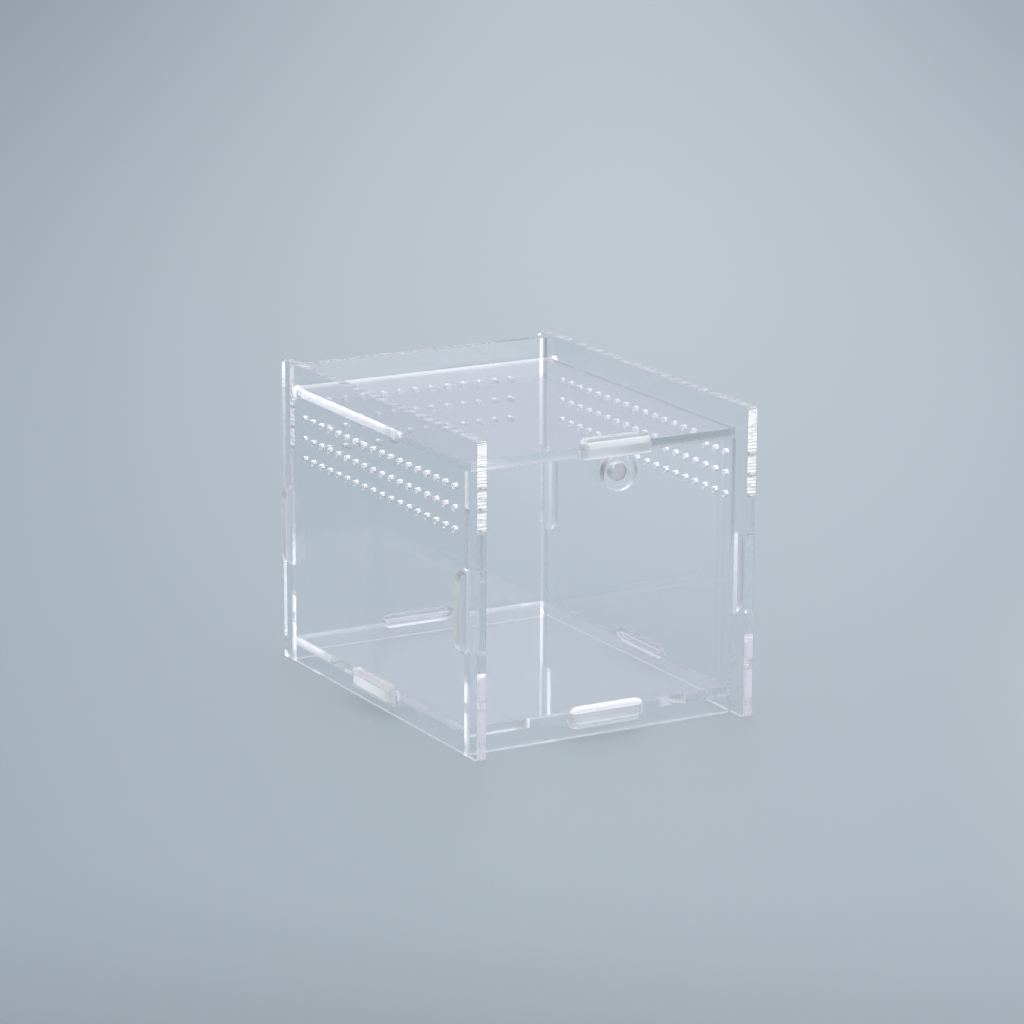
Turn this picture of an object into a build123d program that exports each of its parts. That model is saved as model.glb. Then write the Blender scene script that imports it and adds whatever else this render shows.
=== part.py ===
from build123d import *
import os

# Clear acrylic box for a small reptile: flat pieces cut from one sheet, joined by tabs through slots,
# with a lid that swings on two square pins and is held shut by a pair of small magnets.
# Millimetres. X runs to the right along the front, Y to the rear and Z up. The origin is on the
# ground at the middle of the footprint.

# Driving dimensions
box_width = 150.0
box_depth = 200.0
box_height = 152.0
sheet = 4.8
corner_radius = 1.6

# Places of the sheets between the two side panels
front_set_in = 10.6
rear_set_in = 5.0
floor_height = 7.6
lid_drop = 11.8
back_panel_drop = 1.8

# Clearances
fit_gap = 0.1
slot_end_gap = 0.8
lid_side_gap = 0.5
lid_rest_gap = 0.1
swing_gap = 0.4
pin_gap = 0.3
latch_gap = 0.3

# Tabs that join the fixed sheets
tab_reach = 3.6
tab_corner = 4.4
wall_tab_length = 38.5
wall_tab_height = 69.0
end_floor_tab_length = 38.0
side_floor_tab_length = 40.0
side_floor_tab_place = 0.5

# Finger tab and magnet lug of the lid
finger_tab_place = 2.9
finger_tab_length = 38.0
finger_tab_reach = 5.4
finger_tab_corner = 3.0
lug_place = 4.1
lug_diameter = 18.0
lug_hang = 7.9
magnet_diameter = 8.8
magnet_thickness = 3.0
magnet_edge = 0.3

# Ventilation holes, each cut with enough flats to pass for round at its small size
vent_diameter = 3.2
vent_flat_count = 18
vent_pitch = 9.04
vent_rise = 10.2
vent_top_margin = 25.7
vent_row_count = 3
vent_side_count = 18
vent_back_count = 12

# Planes and levels that the pieces share
side_inner = box_width / 2 - sheet
front_outer = -box_depth / 2 + front_set_in
front_inner = front_outer + sheet
back_outer = box_depth / 2 - rear_set_in
back_inner = back_outer - sheet
lid_top = box_height - lid_drop
lid_under = lid_top - sheet
front_top = lid_under - lid_rest_gap
back_top = box_height - back_panel_drop
vent_top_row = box_height - vent_top_margin
inside_half = side_inner - fit_gap

# Lid pivot: the square pins turn in round holes just clear of the back panel
pin_corner_radius = sheet / 2 * 2 ** 0.5
pivot_y = back_inner - swing_gap - pin_corner_radius
pivot_z = lid_under + sheet / 2
pivot_hole_radius = pin_corner_radius + pin_gap
lid_rear = pivot_y + sheet / 2
pin_end = box_width / 2 - fit_gap

# Magnet latch: the lug hangs under the finger tab, close in front of the front panel
lug_back = front_outer - latch_gap
lug_top = lid_under - fit_gap
latch_z = lid_under - lug_hang


def rectangle(u_low, u_high, v_low, v_high):
    """A rectangle given by its four sides."""
    centre = Pos((u_low + u_high) / 2, (v_low + v_high) / 2)
    return centre * Rectangle(u_high - u_low, v_high - v_low)


def tongue(length, reach, corner):
    """A tab with rounded outer corners that points along +V and is rooted one sheet deep."""
    blank = rectangle(-length / 2, length / 2, -sheet, reach)
    return fillet(blank.vertices().group_by(Axis.Y)[-1], corner)


def slot(length, angle=0):
    """The slot that a tab of this length passes through, turned by an angle in degrees."""
    thickness = sheet + 2 * fit_gap
    return Rot(0, 0, angle) * Rectangle(length + 2 * slot_end_gap, thickness)


def vents(column_count):
    """The rows of ventilation holes of a wall, centred on its middle."""
    block_height = (vent_row_count - 1) * vent_rise
    centre = Pos(0, vent_top_row - block_height / 2)
    return [centre * spot * RegularPolygon(vent_diameter / 2, vent_flat_count)
            for spot in GridLocations(vent_pitch, vent_rise, column_count, vent_row_count)]


def cut_sheet(plane, outline, openings=()):
    """A flat piece cut from the sheet: its outline less its openings, one sheet thick."""
    profile = outline - list(openings) if openings else outline
    return extrude(plane * profile, sheet)


def side_panel(side):
    """A side panel, on the left for side -1 and on the right for side 1."""
    outline = rectangle(-box_depth / 2, box_depth / 2, 0, box_height)
    outline = fillet(outline.vertices(), corner_radius)
    wall_slots = [Pos(middle, wall_tab_height) * slot(wall_tab_length, 90)
                  for middle in (front_outer + sheet / 2, back_inner + sheet / 2)]
    floor_slot = Pos(side_floor_tab_place, floor_height + sheet / 2) * slot(side_floor_tab_length)
    pivot_hole = Pos(pivot_y, pivot_z) * Circle(pivot_hole_radius)
    openings = wall_slots + [floor_slot, pivot_hole] + vents(vent_side_count)
    start = side_inner if side > 0 else -box_width / 2
    return cut_sheet(Plane.YZ.offset(start), outline, openings)


def end_outline(top):
    """The outline that the front and back panels share, up to their own top edges."""
    outline = rectangle(-inside_half, inside_half, 0, top)
    reach = box_width / 2 + tab_reach - inside_half
    for side in (-1, 1):
        turned = Rot(0, 0, -90 * side) * tongue(wall_tab_length, reach, tab_corner)
        outline += Pos(side * inside_half, wall_tab_height) * turned
    return outline


def end_floor_slot():
    """The slot of a front or back panel for the floor's tab."""
    return Pos(0, floor_height + sheet / 2) * slot(end_floor_tab_length)


def front_panel():
    """The front panel, with a pocket in its outer face for the fixed magnet."""
    panel = cut_sheet(Plane.XZ.offset(-front_inner), end_outline(front_top), [end_floor_slot()])
    pocket = Pos(lug_place, latch_z) * Circle(magnet_diameter / 2 + fit_gap)
    return panel - extrude(Plane.XZ.offset(-front_outer) * pocket, -(magnet_thickness + fit_gap))


def back_panel():
    """The back panel, with its own rows of ventilation holes."""
    openings = [end_floor_slot()] + vents(vent_back_count)
    return cut_sheet(Plane.XZ.offset(-back_outer), end_outline(back_top), openings)


def floor_panel():
    """The floor, raised above the ground, with one tab through each wall."""
    front_edge = front_inner + fit_gap
    back_edge = back_inner - fit_gap
    outline = rectangle(-inside_half, inside_half, front_edge, back_edge)
    reach = fit_gap + sheet + tab_reach
    end_tab = tongue(end_floor_tab_length, reach, tab_corner)
    outline += Pos(0, back_edge) * end_tab
    outline += Pos(0, front_edge) * Rot(0, 0, 180) * end_tab
    side_tab = tongue(side_floor_tab_length, reach, tab_corner)
    for side in (-1, 1):
        outline += Pos(side * inside_half, side_floor_tab_place) * Rot(0, 0, -90 * side) * side_tab
    return cut_sheet(Plane.XY.offset(floor_height), outline)


def lid_panel():
    """The lid, with a finger tab in front and a square pin at each rear corner."""
    half = side_inner - lid_side_gap
    outline = rectangle(-half, half, front_outer, lid_rear)
    outline += rectangle(-pin_end, pin_end, lid_rear - sheet, lid_rear)
    finger_tab = tongue(finger_tab_length, finger_tab_reach, finger_tab_corner)
    outline += Pos(finger_tab_place, front_outer) * Rot(0, 0, 180) * finger_tab
    return cut_sheet(Plane.XY.offset(lid_under), outline)


def magnet_lug():
    """The round lug under the finger tab, with a flat top edge and a bore for its magnet."""
    disc = Pos(lug_place, latch_z) * Circle(lug_diameter / 2)
    below_lid = rectangle(lug_place - lug_diameter, lug_place + lug_diameter,
                          latch_z - lug_diameter, lug_top)
    bore = Pos(lug_place, latch_z) * Circle(magnet_diameter / 2 + fit_gap)
    return cut_sheet(Plane.XZ.offset(-lug_back), disc & below_lid, [bore])


def magnet(front_face):
    """A disc magnet whose axis runs front to rear, with bevelled rims."""
    face = Pos(lug_place, latch_z) * Circle(magnet_diameter / 2)
    disc = extrude(Plane.XZ.offset(-front_face) * face, -magnet_thickness)
    return chamfer(disc.edges(), magnet_edge)


pieces = {
    "left_side_panel": side_panel(-1),
    "right_side_panel": side_panel(1),
    "front_panel": front_panel(),
    "back_panel": back_panel(),
    "floor_panel": floor_panel(),
    "lid_panel": lid_panel(),
    "lid_magnet_lug": magnet_lug(),
    "lug_magnet": magnet(lug_back - magnet_thickness),
    "front_panel_magnet": magnet(front_outer),
}

os.makedirs("parts", exist_ok=True)
for name, piece in pieces.items():
    export_step(piece, f"parts/{name}.step")
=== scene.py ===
from math import cos, pi, radians, sin, sqrt

import bmesh
import bpy
from mathutils import Matrix, Vector


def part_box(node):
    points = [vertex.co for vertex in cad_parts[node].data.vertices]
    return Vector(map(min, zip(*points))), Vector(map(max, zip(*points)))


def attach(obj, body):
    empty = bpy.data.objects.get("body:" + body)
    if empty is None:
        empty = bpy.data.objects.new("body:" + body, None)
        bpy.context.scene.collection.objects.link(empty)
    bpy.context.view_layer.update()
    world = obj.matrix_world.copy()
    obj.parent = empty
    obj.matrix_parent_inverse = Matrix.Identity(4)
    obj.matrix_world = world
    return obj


bl_info = {
    "name": "Acrylic Reptile Box",
    "version": (1, 0, 0),
    "blender": (4, 5, 0),
    "location": "3D View > Sidebar > Reptile Box",
    "description": "Finishes a clear acrylic reptile box and sets it on a studio floor",
    "category": "Object",
}

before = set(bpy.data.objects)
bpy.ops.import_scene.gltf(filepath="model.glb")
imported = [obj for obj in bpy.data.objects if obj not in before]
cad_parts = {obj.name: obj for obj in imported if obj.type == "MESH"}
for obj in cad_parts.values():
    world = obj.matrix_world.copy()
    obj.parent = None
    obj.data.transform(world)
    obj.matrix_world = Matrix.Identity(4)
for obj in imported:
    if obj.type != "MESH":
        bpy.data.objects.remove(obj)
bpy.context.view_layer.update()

SIDE_PANELS = ("left_side_panel", "right_side_panel")
END_PANELS = ("front_panel", "back_panel")
MAGNETS = ("lug_magnet", "front_panel_magnet")
# Axis that the two faces of each kind of sheet look along
ACROSS = {"side": (1, 0, 0), "end": (0, 1, 0), "flat": (0, 0, 1)}
# How squarely a face has to look along its sheet's axis; the rest of the surface is cut edge
FACE_LOOK = 0.8
# Levels between which the ventilation holes lie, and how far out along each kind of wall they reach
VENT_LEVELS = (0.103, 0.131)
VENT_REACH = {"side": ((0, 1, 0), 0.09), "end": ((1, 0, 0), 0.065)}
# Outer faces of the four walls, which the tabs reach through
WALLS_LOW = (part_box("left_side_panel")[0][0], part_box("front_panel")[0][1])
WALLS_HIGH = (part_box("right_side_panel")[1][0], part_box("back_panel")[1][1])
# Length, reach and corner radius of the floor's tabs and of the end of the lug's tongue
END_FLOOR_TAB = (0.038, 0.0036, 0.0044)
SIDE_FLOOR_TAB = (0.040, 0.0036, 0.0044)
SIDE_FLOOR_TAB_PLACE = 0.0005
TONGUE = (0.035, 0.0046, 0.003)
TONGUE_PLACE = (0.0028, -0.0912)
TONGUE_WELD_SPREAD = 0.001
# Clearances that keep a piece from touching what carries it, and the steps of a rounded form
SLIDE_GAP = 0.00003
FOOT_GAP = 0.00002
CORNER_STEPS = 8
BEAD_STEPS = 7
# How round a bead's corners are, and its width at the ends of a tab as a share of that along its sides
BEAD_ROUNDNESS = 0.98
BEAD_END_SHARE = 0.6
# How far a saw mark is drawn out from face to face, where 1 is without end
SAW_STRETCH = 0.9
# Share of the light from lamps that cut edges and weld beads hold back
EDGE_SHADOW = 0.2
WELD_SHADOW = 0.4
# How much shinier and duller than its roughness the plating gets
MOTTLE_RANGE = (-0.08, 0.12)
# How much of a lamp's light passes a face straight on and at a slant, and how soon the slant counts
# Straight on, a face passes more lamp light than reaches it: painted light under the box in place of the
# light that the sheets focus there
LAMP_STRAIGHT = 1.015
LAMP_SLANT = 0.985
SLANT_BLEND = 0.35
# Surroundings: walls in front of the box, beside it and behind it, the ceiling, and the heights
# between which the walls turn into it
WALL_FRONT = (0.50, 0.53, 0.57, 1)
WALL_BESIDE = (0.95, 0.97, 1.0, 1)
WALL_BEHIND = (0.66, 0.68, 0.78, 1)
CEILING = (1.2, 1.22, 1.3, 1)
CEILING_RISE = (0.35, 0.8)
# Brightness of the walls straight ahead, and what is added to the right and taken off to the left
WALL_LEVEL = 0.92
WALL_LEAN = 0.3
# Softboxes: place, target, width, height and watts
TOP_SOFTBOX = ((0.35, 0.5, 1.9), (0.1, 0.2, 0), 1.4, 1.4, 14)
SIDE_SOFTBOX = ((0.92, -1.64, 0.46), (0, 0, 0.1), 1.0, 0.9, 2.6)
# Ovals of painted light and shade on the paper: centre, half sizes across and along the view
# Painted pool of light behind the box, fading to painted shade towards its rim where the light falls off
PAINTED_LIGHT_BEHIND = ((1.5414, 2.575), (0.7807, 6.4317))
# Pale oval of painted light to the right of the box, standing in for light bounced from that side
PAINTED_BOUNCE_BESIDE = ((0.408, -0.458), (0.4, 0.75))
# Darker oval of painted shade in front of the box and to its left
PAINTED_SHADE_BEFORE = ((-0.498, -0.58), (0.9, 0.5))
# Corners of the round floor, width of the camera's sensor in millimetres, and reach of its view
FLOOR_CORNERS = 96
SENSOR_WIDTH = 36
VIEW_END = 100
# Bounces that light needs to find its way out of the clear sheets
ALL_BOUNCES = 96
CLEAR_BOUNCES = 64


class AcrylicSettings(bpy.types.PropertyGroup):
    """Finish of the clear sheet."""
    tint: bpy.props.FloatVectorProperty(
        name="Tint", description="Colour that light takes at each pass through a face",
        subtype="COLOR", size=3, min=0, max=1, default=(0.985, 0.99, 1.0))
    index: bpy.props.FloatProperty(
        name="Refractive Index", description="How strongly the sheet bends light",
        default=1.49, min=1, max=2)
    face_roughness: bpy.props.FloatProperty(
        name="Face Roughness", description="Roughness of the factory faces", default=0.0, min=0, max=1)
    edge_roughness: bpy.props.FloatProperty(
        name="Edge Roughness", description="Roughness of the cut edges", default=0.08, min=0, max=1)
    ripple_height: bpy.props.FloatProperty(
        name="Ripple Height", description="Depth of the gentle waves of a cast sheet",
        default=0.00002, subtype="DISTANCE", unit="LENGTH", precision=6)
    ripple_length: bpy.props.FloatProperty(
        name="Ripple Length", description="Distance from wave to wave of a cast sheet",
        default=0.045, subtype="DISTANCE", unit="LENGTH")
    saw_height: bpy.props.FloatProperty(
        name="Saw Mark Depth", description="Depth of the marks that cutting leaves across an edge",
        default=0.00006, subtype="DISTANCE", unit="LENGTH", precision=5)
    saw_spacing: bpy.props.FloatProperty(
        name="Saw Mark Spacing", description="Distance between the marks along a cut edge",
        default=0.002, subtype="DISTANCE", unit="LENGTH", precision=5)
    tip_roughness: bpy.props.FloatProperty(
        name="Tab Tip Roughness", description="Roughness of the tabs outside the walls",
        default=0.4, min=0, max=1)
    vent_roughness: bpy.props.FloatProperty(
        name="Vent Roughness", description="Roughness of the walls of the ventilation holes",
        default=0.4, min=0, max=1)
    lug_roughness: bpy.props.FloatProperty(
        name="Lug Roughness", description="Roughness of the cut edges of the magnet lug",
        default=0.35, min=0, max=1)
    weld_roughness: bpy.props.FloatProperty(
        name="Weld Roughness", description="Roughness of the weld beads", default=0.25, min=0, max=1)
    weld_height: bpy.props.FloatProperty(
        name="Weld Height", description="Height of a weld bead above the wall that carries it",
        default=0.003, subtype="DISTANCE", unit="LENGTH", precision=5)
    weld_spread: bpy.props.FloatProperty(
        name="Weld Spread", description="Width of a weld bead beside its tab",
        default=0.0031, subtype="DISTANCE", unit="LENGTH", precision=5)
    weld_clarity: bpy.props.FloatProperty(
        name="Lid Weld Clarity", description="How clear the milky weld on the lid is",
        default=0.3, min=0, max=1)


class MagnetSettings(bpy.types.PropertyGroup):
    """Finish of the plated disc magnets."""
    plating: bpy.props.FloatVectorProperty(
        name="Plating", description="Colour of the nickel plating",
        subtype="COLOR", size=3, min=0, max=1, default=(0.60, 0.60, 0.62))
    roughness: bpy.props.FloatProperty(
        name="Roughness", description="Roughness of the nickel plating", default=0.32, min=0, max=1)
    mottle_scale: bpy.props.FloatProperty(
        name="Mottle Scale", description="Fineness of the mottle on the plating", default=900, min=0)


class StageSettings(bpy.types.PropertyGroup):
    """Floor, light and camera."""
    # The paper's middle and rim are painted light and shade: lit behind the box, shaded towards the rim
    paper_shaded_rim: bpy.props.FloatVectorProperty(
        name="Paper Shaded Rim", description="Colour of the graduated paper away from its middle",
        subtype="COLOR", size=3, min=0, max=1, default=(0.187, 0.232, 0.256))
    paper_lit_middle: bpy.props.FloatVectorProperty(
        name="Paper Lit Middle", description="Colour of the graduated paper at its middle",
        subtype="COLOR", size=3, min=0, max=1, default=(0.4136, 0.4667, 0.487))
    # Painted light bounced onto the paper from the right of the box
    paper_painted_bounce: bpy.props.FloatVectorProperty(
        name="Paper Painted Bounce", description="Colour of the pale oval to the right of the box",
        subtype="COLOR", size=3, min=0, max=1, default=(0.8, 0.8, 0.8))
    # Painted shade on the paper in front of the box
    paper_painted_shade: bpy.props.FloatVectorProperty(
        name="Paper Painted Shade", description="Colour of the darker oval in front of the box",
        subtype="COLOR", size=3, min=0, max=1, default=(0.125, 0.157, 0.176))
    paper_roughness: bpy.props.FloatProperty(
        name="Paper Roughness", description="Roughness of the satin paper", default=0.45, min=0, max=1)
    paper_drop: bpy.props.FloatProperty(
        name="Paper Drop", description="Distance of the paper below the feet of the box",
        default=0.0003, subtype="DISTANCE", unit="LENGTH", precision=5)
    floor_radius: bpy.props.FloatProperty(
        name="Floor Radius", description="Radius of the round paper floor",
        default=7.0, subtype="DISTANCE", unit="LENGTH")
    camera_place: bpy.props.FloatVectorProperty(
        name="Camera Place", description="Where the camera stands",
        subtype="TRANSLATION", size=3, default=(-0.96649, -1.71912, 0.5943))
    camera_turn: bpy.props.FloatProperty(
        name="Camera Turn", description="Angle of view from straight ahead towards the right",
        subtype="ANGLE", default=radians(29.327))
    camera_dip: bpy.props.FloatProperty(
        name="Camera Dip", description="Angle of view below the horizon",
        subtype="ANGLE", default=radians(14.409))
    camera_roll: bpy.props.FloatProperty(
        name="Camera Roll", description="Turn of the picture about the line of view",
        subtype="ANGLE", default=radians(0.248))
    camera_lens: bpy.props.FloatProperty(
        name="Camera Lens", description="Focal length on a 36 mm wide sensor", default=147.58)


def settings():
    """The three groups of settings, kept on the scene."""
    scene = bpy.context.scene
    return scene.box_acrylic, scene.box_magnet, scene.box_stage


def new_group(name, inputs, outputs):
    """An empty shader node group with float or vector sockets, and its input and output nodes."""
    group = bpy.data.node_groups.new(name, "ShaderNodeTree")
    for label, kind, value in inputs:
        socket = group.interface.new_socket(label, in_out="INPUT", socket_type=kind)
        socket.default_value = value
    for label, kind in outputs:
        group.interface.new_socket(label, in_out="OUTPUT", socket_type=kind)
    return group, group.nodes.new("NodeGroupInput"), group.nodes.new("NodeGroupOutput")


def feed(tree, value, socket):
    """Gives an input its value, which is another node's output or a plain value."""
    if isinstance(value, bpy.types.NodeSocket):
        tree.links.new(value, socket)
    else:
        socket.default_value = value


def maths(tree, operation, *values):
    """The output of a Math node fed by sockets or plain numbers."""
    node = tree.nodes.new("ShaderNodeMath")
    node.operation = operation
    for value, socket in zip(values, node.inputs):
        feed(tree, value, socket)
    return node.outputs[0]


def share_along(tree, vector, direction):
    """How far a vector goes along a direction of length 1."""
    node = tree.nodes.new("ShaderNodeVectorMath")
    node.operation = "DOT_PRODUCT"
    for value, socket in zip((vector, direction), node.inputs):
        feed(tree, value, socket)
    return node.outputs["Value"]


def cut_edge(tree, across):
    """A mask of a sheet's cut edges, by the direction that the surface looks in."""
    place = tree.nodes.new("ShaderNodeTexCoord")
    facing = maths(tree, "ABSOLUTE", share_along(tree, place.outputs["Normal"], across))
    return maths(tree, "LESS_THAN", facing, FACE_LOOK)


def cut_edge_group(name):
    """The cut edges of a sheet, as a mask."""
    group, start, end = new_group(
        name, [("Across", "NodeSocketVector", (0, 0, 1))], [("Edge", "NodeSocketFloat")])
    group.links.new(cut_edge(group, start.outputs["Across"]), end.inputs["Edge"])
    return group


def tab_tip_group(name):
    """The part of a sheet that stands outside the walls, as a mask."""
    group, start, end = new_group(
        name, [("Margin", "NodeSocketFloat", 0.00005)], [("Tip", "NodeSocketFloat")])
    place = group.nodes.new("ShaderNodeTexCoord")
    split = group.nodes.new("ShaderNodeSeparateXYZ")
    group.links.new(place.outputs["Object"], split.inputs["Vector"])
    outside = 0.0
    for axis, low, high in zip("XY", WALLS_LOW, WALLS_HIGH):
        middle, half = (low + high) / 2, (high - low) / 2
        offset = maths(group, "ABSOLUTE", maths(group, "SUBTRACT", split.outputs[axis], middle))
        reach = maths(group, "ADD", half, start.outputs["Margin"])
        outside = maths(group, "MAXIMUM", maths(group, "GREATER_THAN", offset, reach), outside)
    group.links.new(outside, end.inputs["Tip"])
    return group


def vent_area_group(name):
    """The part of a wall in which its ventilation holes lie, as a mask."""
    group, start, end = new_group(
        name, [("Along", "NodeSocketVector", (0, 1, 0)), ("Reach", "NodeSocketFloat", 0.09)],
        [("Area", "NodeSocketFloat")])
    place = group.nodes.new("ShaderNodeTexCoord")
    split = group.nodes.new("ShaderNodeSeparateXYZ")
    group.links.new(place.outputs["Object"], split.inputs["Vector"])
    above = maths(group, "GREATER_THAN", split.outputs["Z"], VENT_LEVELS[0])
    below = maths(group, "LESS_THAN", split.outputs["Z"], VENT_LEVELS[1])
    along = share_along(group, place.outputs["Object"], start.outputs["Along"])
    within = maths(group, "LESS_THAN", maths(group, "ABSOLUTE", along), start.outputs["Reach"])
    area = maths(group, "MULTIPLY", maths(group, "MULTIPLY", above, below), within)
    group.links.new(area, end.inputs["Area"])
    return group


def saw_marks_group(name):
    """The marks that run from face to face across a cut edge, as a height from 0 to 1."""
    group, start, end = new_group(
        name, [("Across", "NodeSocketVector", (0, 0, 1)), ("Spacing", "NodeSocketFloat", 0.002)],
        [("Height", "NodeSocketFloat")])
    place = group.nodes.new("ShaderNodeTexCoord")
    along = share_along(group, place.outputs["Object"], start.outputs["Across"])
    stretch = group.nodes.new("ShaderNodeVectorMath")
    stretch.operation = "MULTIPLY_ADD"
    group.links.new(start.outputs["Across"], stretch.inputs[0])
    shift = group.nodes.new("ShaderNodeCombineXYZ")
    for socket in shift.inputs:
        group.links.new(maths(group, "MULTIPLY", along, -SAW_STRETCH), socket)
    group.links.new(shift.outputs["Vector"], stretch.inputs[1])
    group.links.new(place.outputs["Object"], stretch.inputs[2])
    noise = group.nodes.new("ShaderNodeTexNoise")
    noise.inputs["Detail"].default_value = 2.0
    group.links.new(stretch.outputs["Vector"], noise.inputs["Vector"])
    group.links.new(maths(group, "DIVIDE", 1.0, start.outputs["Spacing"]), noise.inputs["Scale"])
    group.links.new(noise.outputs["Fac"], end.inputs["Height"])
    return group


def sheet_ripple_group(name):
    """Gentle waves of a cast sheet, as a height from 0 to 1."""
    group, start, end = new_group(
        name, [("Length", "NodeSocketFloat", 0.045)], [("Height", "NodeSocketFloat")])
    place = group.nodes.new("ShaderNodeTexCoord")
    noise = group.nodes.new("ShaderNodeTexNoise")
    noise.inputs["Detail"].default_value = 1.0
    group.links.new(place.outputs["Object"], noise.inputs["Vector"])
    group.links.new(maths(group, "DIVIDE", 1.0, start.outputs["Length"]), noise.inputs["Scale"])
    group.links.new(noise.outputs["Fac"], end.inputs["Height"])
    return group


def group_node(tree, name, make_group):
    """A node that places a shared group in a material; the first to need the group makes it."""
    node = tree.nodes.new("ShaderNodeGroup")
    node.node_tree = bpy.data.node_groups.get(name) or make_group(name)
    return node


def new_material(name):
    """A material with its node tree and its surface node."""
    material = bpy.data.materials.new(name)
    material.use_nodes = True
    return material, material.node_tree, material.node_tree.nodes["Principled BSDF"]


def acrylic(name, across, roughness=None, tabs=False, vents=None, edges=None,
            shadow=EDGE_SHADOW, clarity=1.0):
    """Clear cast acrylic whose faces look along the given axis and whose cut edges are duller.

    It has one roughness all over where that is given, and otherwise one each for the faces, the cut
    edges, the frosted tips of tabs and the walls of the ventilation holes.
    """
    finish = settings()[0]
    material, tree, surface = new_material(name)
    nodes, links = tree.nodes, tree.links
    surface.inputs["Base Color"].default_value = (*finish.tint, 1)
    surface.inputs["IOR"].default_value = finish.index
    surface.inputs["Transmission Weight"].default_value = clarity

    edge = group_node(tree, "Cut Edge", cut_edge_group)
    edge.inputs["Across"].default_value = across
    mask = edge.outputs["Edge"]
    if roughness is None:
        edges = edges or finish.edge_roughness
        rough = maths(tree, "MULTIPLY_ADD", mask, edges - finish.face_roughness, finish.face_roughness)
        if tabs:
            tip = group_node(tree, "Tab Tip", tab_tip_group)
            frosted = maths(tree, "MULTIPLY", tip.outputs["Tip"], finish.tip_roughness)
            rough = maths(tree, "MAXIMUM", rough, frosted)
        if vents:
            area = group_node(tree, "Vent Area", vent_area_group)
            area.inputs["Along"].default_value, area.inputs["Reach"].default_value = VENT_REACH[vents]
            bored = maths(tree, "MULTIPLY", area.outputs["Area"], mask)
            rough = maths(tree, "MAXIMUM", rough, maths(tree, "MULTIPLY", bored, finish.vent_roughness))
        links.new(rough, surface.inputs["Roughness"])
    else:
        surface.inputs["Roughness"].default_value = roughness

    ripple = group_node(tree, "Sheet Ripple", sheet_ripple_group)
    ripple.inputs["Length"].default_value = finish.ripple_length
    marks = group_node(tree, "Saw Marks", saw_marks_group)
    marks.inputs["Across"].default_value = across
    marks.inputs["Spacing"].default_value = finish.saw_spacing
    waves = maths(tree, "MULTIPLY", ripple.outputs["Height"], finish.ripple_height / finish.saw_height)
    relief = nodes.new("ShaderNodeMix")
    links.new(mask, relief.inputs["Factor"])
    links.new(waves, relief.inputs["A"])
    links.new(marks.outputs["Height"], relief.inputs["B"])
    bump = nodes.new("ShaderNodeBump")
    bump.inputs["Distance"].default_value = finish.saw_height
    flat = nodes.new("ShaderNodeNewGeometry")
    links.new(flat.outputs["True Normal"], bump.inputs["Normal"])
    links.new(relief.outputs["Result"], bump.inputs["Height"])
    links.new(bump.outputs["Normal"], surface.inputs["Normal"])

    # Light from lamps passes straight through, a little weaker at a slant and at the cut edges. The
    # mask of the edges is made here once more, because the shared groups feed only the surface.
    lamp_light = nodes.new("ShaderNodeBsdfTransparent")
    tilt = nodes.new("ShaderNodeLayerWeight")
    tilt.inputs["Blend"].default_value = SLANT_BLEND
    shade = nodes.new("ShaderNodeMapRange")
    # Straight on, a face passes a little more than all of a lamp's light: painted light on the paper under
    # the box, in place of the light that the sheets focus there
    shade.inputs["To Min"].default_value = LAMP_STRAIGHT
    shade.inputs["To Max"].default_value = LAMP_SLANT
    links.new(tilt.outputs["Facing"], shade.inputs["Value"])
    loss = maths(tree, "MULTIPLY_ADD", cut_edge(tree, across), -shadow, 1.0)
    links.new(maths(tree, "MULTIPLY", shade.outputs["Result"], loss), lamp_light.inputs["Color"])
    path = nodes.new("ShaderNodeLightPath")
    soft_ray = maths(tree, "MAXIMUM", path.outputs["Is Shadow Ray"], path.outputs["Is Diffuse Ray"])
    mix = nodes.new("ShaderNodeMixShader")
    links.new(soft_ray, mix.inputs["Fac"])
    links.new(surface.outputs["BSDF"], mix.inputs[1])
    links.new(lamp_light.outputs["BSDF"], mix.inputs[2])
    links.new(mix.outputs["Shader"], nodes["Material Output"].inputs["Surface"])
    return material


def nickel(name):
    """Nickel plating with the faint mottle of a tumbled disc."""
    finish = settings()[1]
    material, tree, surface = new_material(name)
    nodes, links = tree.nodes, tree.links
    surface.inputs["Base Color"].default_value = (*finish.plating, 1)
    surface.inputs["Metallic"].default_value = 1.0
    place = nodes.new("ShaderNodeTexCoord")
    mottle = nodes.new("ShaderNodeTexNoise")
    mottle.inputs["Scale"].default_value = finish.mottle_scale
    mottle.inputs["Detail"].default_value = 4
    links.new(place.outputs["Object"], mottle.inputs["Vector"])
    rough = nodes.new("ShaderNodeMapRange")
    rough.inputs["To Min"].default_value = finish.roughness + MOTTLE_RANGE[0]
    rough.inputs["To Max"].default_value = finish.roughness + MOTTLE_RANGE[1]
    links.new(mottle.outputs["Fac"], rough.inputs["Value"])
    links.new(rough.outputs["Result"], surface.inputs["Roughness"])
    return material


def dress(name, material):
    """Gives a node its material."""
    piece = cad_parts[name]
    piece.data.materials.clear()
    piece.data.materials.append(material)


class BOX_OT_dress_side_panels(bpy.types.Operator):
    """Finish the two side panels"""
    bl_idname = "reptile_box.dress_side_panels"
    bl_label = "Side Panels"

    def execute(self, context):
        material = acrylic("Side Panel Acrylic", ACROSS["side"], vents="side")
        for name in SIDE_PANELS:
            dress(name, material)
        return {"FINISHED"}


class BOX_OT_dress_end_panels(bpy.types.Operator):
    """Finish the front and back panels"""
    bl_idname = "reptile_box.dress_end_panels"
    bl_label = "End Panels"

    def execute(self, context):
        material = acrylic("End Panel Acrylic", ACROSS["end"], tabs=True, vents="end")
        for name in END_PANELS:
            dress(name, material)
        return {"FINISHED"}


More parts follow.
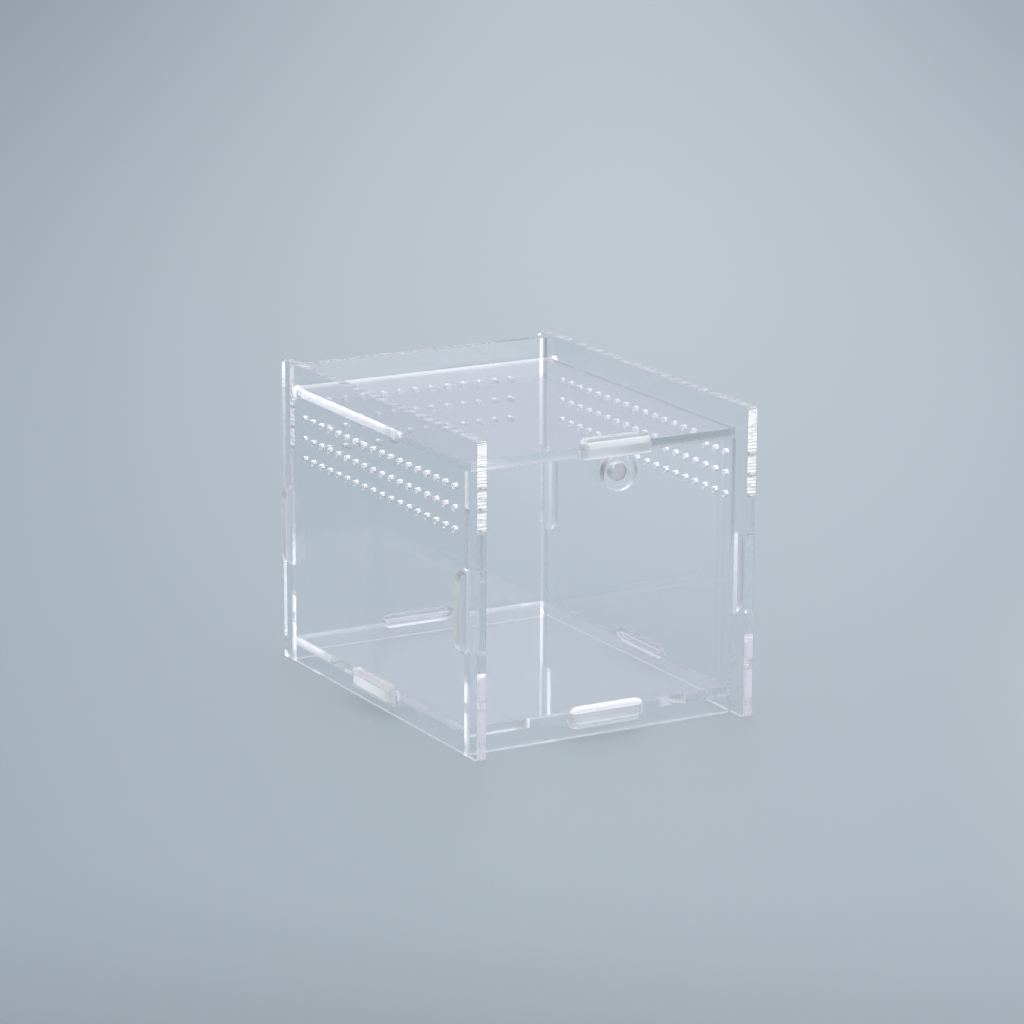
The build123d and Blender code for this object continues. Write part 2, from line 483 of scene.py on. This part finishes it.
def rounded_loop(half_length, half_height, radius, lift):
    """Points round a rectangle with rounded corners, at one height above the wall."""
    points = []
    for corner in range(4):
        side_u, side_v = ((1, 1), (-1, 1), (-1, -1), (1, -1))[corner]
        for step in range(CORNER_STEPS + 1):
            angle = (corner + step / CORNER_STEPS) * pi / 2
            points.append((side_u * (half_length - radius) + radius * cos(angle),
                           side_v * (half_height - radius) + radius * sin(angle), lift))
    return points


def acrylic_piece(mesh, name, body):
    """Turns a finished bmesh into a piece of clear acrylic that rides on a body."""
    bmesh.ops.recalc_face_normals(mesh, faces=mesh.faces)
    data = bpy.data.meshes.new(name)
    mesh.to_mesh(data)
    mesh.free()
    piece = bpy.data.objects.new(name, data)
    bpy.context.scene.collection.objects.link(piece)
    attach(piece, body)
    return piece


def tongue_end(name, tab, thickness, centre, body):
    """The end of an upright tongue that comes up through a level sheet, with rounded top corners."""
    length, reach, corner = tab
    outline = [(-length / 2, 0.0)]
    for side in (-1, 1):
        for step in range(CORNER_STEPS + 1):
            angle = (step if side < 0 else CORNER_STEPS - step) / CORNER_STEPS * pi / 2
            outline.append((side * (length / 2 - corner + corner * cos(angle)),
                            reach - corner + corner * sin(angle)))
    outline.append((length / 2, 0.0))
    mesh = bmesh.new()
    centre = Vector(centre)
    front, back = ([mesh.verts.new(centre + Vector((u, v, w))) for u, w in outline]
                   for v in (-thickness / 2, thickness / 2))
    mesh.faces.new(front)
    mesh.faces.new(reversed(back))
    for index in range(len(outline)):
        after = (index + 1) % len(outline)
        mesh.faces.new((front[after], front[index], back[index], back[after]))
    return acrylic_piece(mesh, name, body)


def weld_bead(name, tab, thickness, along, out, centre, body="box", spread=None):
    """A bead of weld round a tab where it comes out of a sheet: a rounded ring that hugs the tab."""
    finish = settings()[0]
    tab_length, tab_reach, tab_corner = tab
    spread, height = spread or finish.weld_spread, finish.weld_height
    half_height = thickness / 2 + SLIDE_GAP

    def half_length(lift):
        inset = tab_corner - (tab_reach - lift)
        rounding = sqrt(max(tab_corner ** 2 - max(inset, 0) ** 2, 0))
        return tab_length / 2 - tab_corner + rounding + SLIDE_GAP

    loops = []
    for step in range(BEAD_STEPS + 1):
        swell = cos(step / BEAD_STEPS * pi / 2)
        lift = FOOT_GAP + height * sin(step / BEAD_STEPS * pi / 2)
        low = half_height + spread * swell
        wide = half_length(lift) + spread * swell * BEAD_END_SHARE
        radius = max(low * BEAD_ROUNDNESS * swell, SLIDE_GAP)
        loops.append(rounded_loop(wide, low, radius, lift))
    for step in range(BEAD_STEPS, -1, -1):
        lift = FOOT_GAP + height * step / BEAD_STEPS
        loops.append(rounded_loop(half_length(lift), half_height, SLIDE_GAP, lift))
    mesh = bmesh.new()
    along, out, centre = Vector(along), Vector(out), Vector(centre)
    over = out.cross(along)
    rings = [[mesh.verts.new(centre + along * u + over * v + out * w) for u, v, w in loop]
             for loop in loops]
    for ring, following in zip(rings, rings[1:] + rings[:1]):
        for index in range(len(ring)):
            after = (index + 1) % len(ring)
            mesh.faces.new((ring[index], ring[after], following[after], following[index]))
    return acrylic_piece(mesh, name, body)


class BOX_OT_add_welds(bpy.types.Operator):
    """Add the weld beads round the floor's tabs, and the end of the lug's tongue with its bead"""
    bl_idname = "reptile_box.add_welds"
    bl_label = "Weld Beads"

    def execute(self, context):
        finish = settings()[0]
        low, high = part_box("floor_panel")
        level, thickness = (low[2] + high[2]) / 2, high[2] - low[2]
        material = acrylic("Weld Acrylic", ACROSS["flat"], finish.weld_roughness, shadow=WELD_SHADOW)
        for name, tab, along, out, centre in (
                ("front_floor_weld", END_FLOOR_TAB, (1, 0, 0), (0, -1, 0), (0, WALLS_LOW[1], level)),
                ("back_floor_weld", END_FLOOR_TAB, (1, 0, 0), (0, 1, 0), (0, WALLS_HIGH[1], level)),
                ("left_floor_weld", SIDE_FLOOR_TAB, (0, 1, 0), (-1, 0, 0),
                 (WALLS_LOW[0], SIDE_FLOOR_TAB_PLACE, level)),
                ("right_floor_weld", SIDE_FLOOR_TAB, (0, 1, 0), (1, 0, 0),
                 (WALLS_HIGH[0], SIDE_FLOOR_TAB_PLACE, level))):
            weld_bead(name, tab, thickness, along, out, centre).data.materials.append(material)
        centre = Vector((*TONGUE_PLACE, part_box("lid_panel")[1][2]))
        end = tongue_end("lid_tongue_end", TONGUE, thickness, centre + Vector((0, 0, FOOT_GAP)), "lid")
        end.data.materials.append(acrylic("Tongue Acrylic", ACROSS["end"], tabs=True))
        bead = weld_bead(
            "lid_tongue_weld", TONGUE, thickness, (1, 0, 0), (0, 0, 1), centre, "lid", TONGUE_WELD_SPREAD)
        bead.data.materials.append(acrylic(
            "Milky Weld", ACROSS["flat"], finish.weld_roughness, clarity=finish.weld_clarity))
        return {"FINISHED"}


class BOX_OT_dress_floor(bpy.types.Operator):
    """Finish the floor panel"""
    bl_idname = "reptile_box.dress_floor"
    bl_label = "Floor Panel"

    def execute(self, context):
        dress("floor_panel", acrylic("Floor Panel Acrylic", ACROSS["flat"], tabs=True))
        return {"FINISHED"}


class BOX_OT_dress_lid(bpy.types.Operator):
    """Finish the lid and its magnet lug"""
    bl_idname = "reptile_box.dress_lid"
    bl_label = "Lid"

    def execute(self, context):
        finish = settings()[0]
        dress("lid_panel", acrylic("Lid Acrylic", ACROSS["flat"], tabs=True))
        dress("lid_magnet_lug", acrylic("Magnet Lug Acrylic", ACROSS["end"], edges=finish.lug_roughness))
        return {"FINISHED"}


class BOX_OT_dress_magnets(bpy.types.Operator):
    """Finish the two latch magnets"""
    bl_idname = "reptile_box.dress_magnets"
    bl_label = "Magnets"

    def execute(self, context):
        material = nickel("Nickel Plating")
        for name in MAGNETS:
            dress(name, material)
        return {"FINISHED"}


def paper(name):
    """Satin paper with painted light: pale ovals behind the box and to its right, and painted shade in a
    darker one in front.
    """
    stage = settings()[2]
    material, tree, surface = new_material(name)
    nodes, links = tree.nodes, tree.links
    surface.inputs["Roughness"].default_value = stage.paper_roughness
    place = nodes.new("ShaderNodeTexCoord")

    def light_and_shade_oval(centre, half_sizes, colour, around):
        """A soft-edged oval of one colour laid on what lies around it: painted light where it is paler,
        painted shade where it is darker.
        """
        oval = nodes.new("ShaderNodeMapping")
        oval.vector_type = "TEXTURE"
        oval.inputs["Location"].default_value = (*centre, 0)
        oval.inputs["Rotation"].default_value = (0, 0, -stage.camera_turn)
        oval.inputs["Scale"].default_value = (*half_sizes, 1)
        links.new(place.outputs["Object"], oval.inputs["Vector"])
        fade = nodes.new("ShaderNodeTexGradient")
        fade.gradient_type = "SPHERICAL"
        links.new(oval.outputs["Vector"], fade.inputs["Vector"])
        soft = nodes.new("ShaderNodeMapRange")
        soft.interpolation_type = "SMOOTHSTEP"
        links.new(fade.outputs["Fac"], soft.inputs["Value"])
        tone = nodes.new("ShaderNodeMix")
        tone.data_type = "RGBA"
        feed(tree, around, tone.inputs["A"])
        tone.inputs["B"].default_value = (*colour, 1)
        links.new(soft.outputs["Result"], tone.inputs["Factor"])
        return tone.outputs["Result"]

    # Painted pool of light behind the box, with painted shade towards its rim
    behind = light_and_shade_oval(*PAINTED_LIGHT_BEHIND, stage.paper_lit_middle, (*stage.paper_shaded_rim, 1))
    # Painted light bounced from the right of the box
    beside = light_and_shade_oval(*PAINTED_BOUNCE_BESIDE, stage.paper_painted_bounce, behind)
    # Painted shade in front of the box
    before = light_and_shade_oval(*PAINTED_SHADE_BEFORE, stage.paper_painted_shade, beside)
    links.new(before, surface.inputs["Base Color"])
    return material


def studio_world():
    """Soft surroundings: pale walls behind and beside the box, a bright ceiling and a dim room in front."""
    stage = settings()[2]
    world = bpy.data.worlds.new("Studio")
    bpy.context.scene.world = world
    world.use_nodes = True
    tree = world.node_tree
    nodes, links = tree.nodes, tree.links
    place = nodes.new("ShaderNodeTexCoord")
    split = nodes.new("ShaderNodeSeparateXYZ")
    links.new(place.outputs["Generated"], split.inputs["Vector"])
    ahead = (sin(stage.camera_turn), cos(stage.camera_turn), 0)
    right = (cos(stage.camera_turn), -sin(stage.camera_turn), 0)
    # Goes from 0 in front of the box to 1 behind it
    depth = maths(tree, "MULTIPLY_ADD", share_along(tree, place.outputs["Generated"], ahead), 0.5, 0.5)
    wall = nodes.new("ShaderNodeValToRGB")
    wall.color_ramp.interpolation = "EASE"
    wall.color_ramp.elements[0].color = WALL_FRONT
    wall.color_ramp.elements[1].color = WALL_BEHIND
    wall.color_ramp.elements.new(0.5).color = WALL_BESIDE
    links.new(depth, wall.inputs["Fac"])
    side_light = nodes.new("ShaderNodeVectorMath")
    side_light.operation = "SCALE"
    links.new(wall.outputs["Color"], side_light.inputs["Vector"])
    aside = share_along(tree, place.outputs["Generated"], right)
    level = maths(tree, "MULTIPLY_ADD", aside, WALL_LEAN, WALL_LEVEL)
    links.new(level, side_light.inputs["Scale"])
    up = nodes.new("ShaderNodeMapRange")
    up.interpolation_type = "SMOOTHSTEP"
    up.inputs["From Min"].default_value, up.inputs["From Max"].default_value = CEILING_RISE
    links.new(split.outputs["Z"], up.inputs["Value"])
    ceiling = nodes.new("ShaderNodeMix")
    ceiling.data_type = "RGBA"
    ceiling.inputs["B"].default_value = CEILING
    links.new(up.outputs["Result"], ceiling.inputs["Factor"])
    links.new(side_light.outputs["Vector"], ceiling.inputs["A"])
    links.new(ceiling.outputs["Result"], nodes["Background"].inputs["Color"])


def softbox(name, place, target, width, height, watts):
    """A flat soft light that looks from one place to another."""
    light = bpy.data.lights.new(name, "AREA")
    light.shape = "RECTANGLE"
    light.size = width
    light.size_y = height
    light.energy = watts
    lamp = bpy.data.objects.new(name, light)
    bpy.context.scene.collection.objects.link(lamp)
    lamp.location = place
    lamp.rotation_euler = (Vector(target) - Vector(place)).to_track_quat("-Z", "Y").to_euler()
    return lamp


def camera():
    """The camera at the photograph's place and angle."""
    stage = settings()[2]
    turn, dip, roll = stage.camera_turn, stage.camera_dip, stage.camera_roll
    ahead = Vector((sin(turn) * cos(dip), cos(turn) * cos(dip), -sin(dip)))
    right = Vector((cos(turn), -sin(turn), 0))
    above = right.cross(ahead)
    right, above = cos(roll) * right + sin(roll) * above, cos(roll) * above - sin(roll) * right
    lens = bpy.data.cameras.new("Camera")
    lens.sensor_width = SENSOR_WIDTH
    lens.lens = stage.camera_lens
    lens.clip_end = VIEW_END
    viewer = bpy.data.objects.new("Camera", lens)
    bpy.context.scene.collection.objects.link(viewer)
    turned = Matrix((right, above, -ahead)).transposed().to_4x4()
    viewer.matrix_world = Matrix.Translation(stage.camera_place) @ turned
    bpy.context.scene.camera = viewer


class BOX_OT_set_stage(bpy.types.Operator):
    """Lay the floor and set the lights and the camera"""
    bl_idname = "reptile_box.set_stage"
    bl_label = "Stage"

    def execute(self, context):
        stage = settings()[2]
        bpy.ops.mesh.primitive_circle_add(
            vertices=FLOOR_CORNERS, radius=stage.floor_radius, fill_type="NGON",
            location=(0, 0, -stage.paper_drop))
        floor = context.object
        floor.name = "paper_floor"
        floor.data.materials.append(paper("Paper With Painted Light And Shade"))
        studio_world()
        softbox("Top Softbox", *TOP_SOFTBOX)
        softbox("Side Softbox", *SIDE_SOFTBOX)
        camera()
        scene = context.scene
        scene.view_settings.view_transform = "Standard"
        scene.cycles.max_bounces = ALL_BOUNCES
        scene.cycles.transmission_bounces = CLEAR_BOUNCES
        scene.cycles.glossy_bounces = CLEAR_BOUNCES
        scene.cycles.transparent_max_bounces = CLEAR_BOUNCES
        return {"FINISHED"}


class BOX_PT_sidebar(bpy.types.Panel):
    """Sidebar panel with one button for each step"""
    bl_idname = "BOX_PT_sidebar"
    bl_label = "Reptile Box"
    bl_space_type = "VIEW_3D"
    bl_region_type = "UI"
    bl_category = "Reptile Box"

    def draw(self, context):
        for step in STEPS:
            self.layout.operator(step.bl_idname)


STEPS = (BOX_OT_dress_side_panels, BOX_OT_dress_end_panels, BOX_OT_dress_floor,
         BOX_OT_dress_lid, BOX_OT_dress_magnets, BOX_OT_add_welds, BOX_OT_set_stage)
CLASSES = (AcrylicSettings, MagnetSettings, StageSettings, *STEPS, BOX_PT_sidebar)


def register():
    for kind in CLASSES:
        bpy.utils.register_class(kind)
    bpy.types.Scene.box_acrylic = bpy.props.PointerProperty(type=AcrylicSettings)
    bpy.types.Scene.box_magnet = bpy.props.PointerProperty(type=MagnetSettings)
    bpy.types.Scene.box_stage = bpy.props.PointerProperty(type=StageSettings)


def unregister():
    del bpy.types.Scene.box_stage
    del bpy.types.Scene.box_magnet
    del bpy.types.Scene.box_acrylic
    for kind in reversed(CLASSES):
        bpy.utils.unregister_class(kind)


def main():
    register()
    for step in STEPS:
        family, action = step.bl_idname.split(".")
        getattr(getattr(bpy.ops, family), action)()


if __name__ == "__main__":
    main()
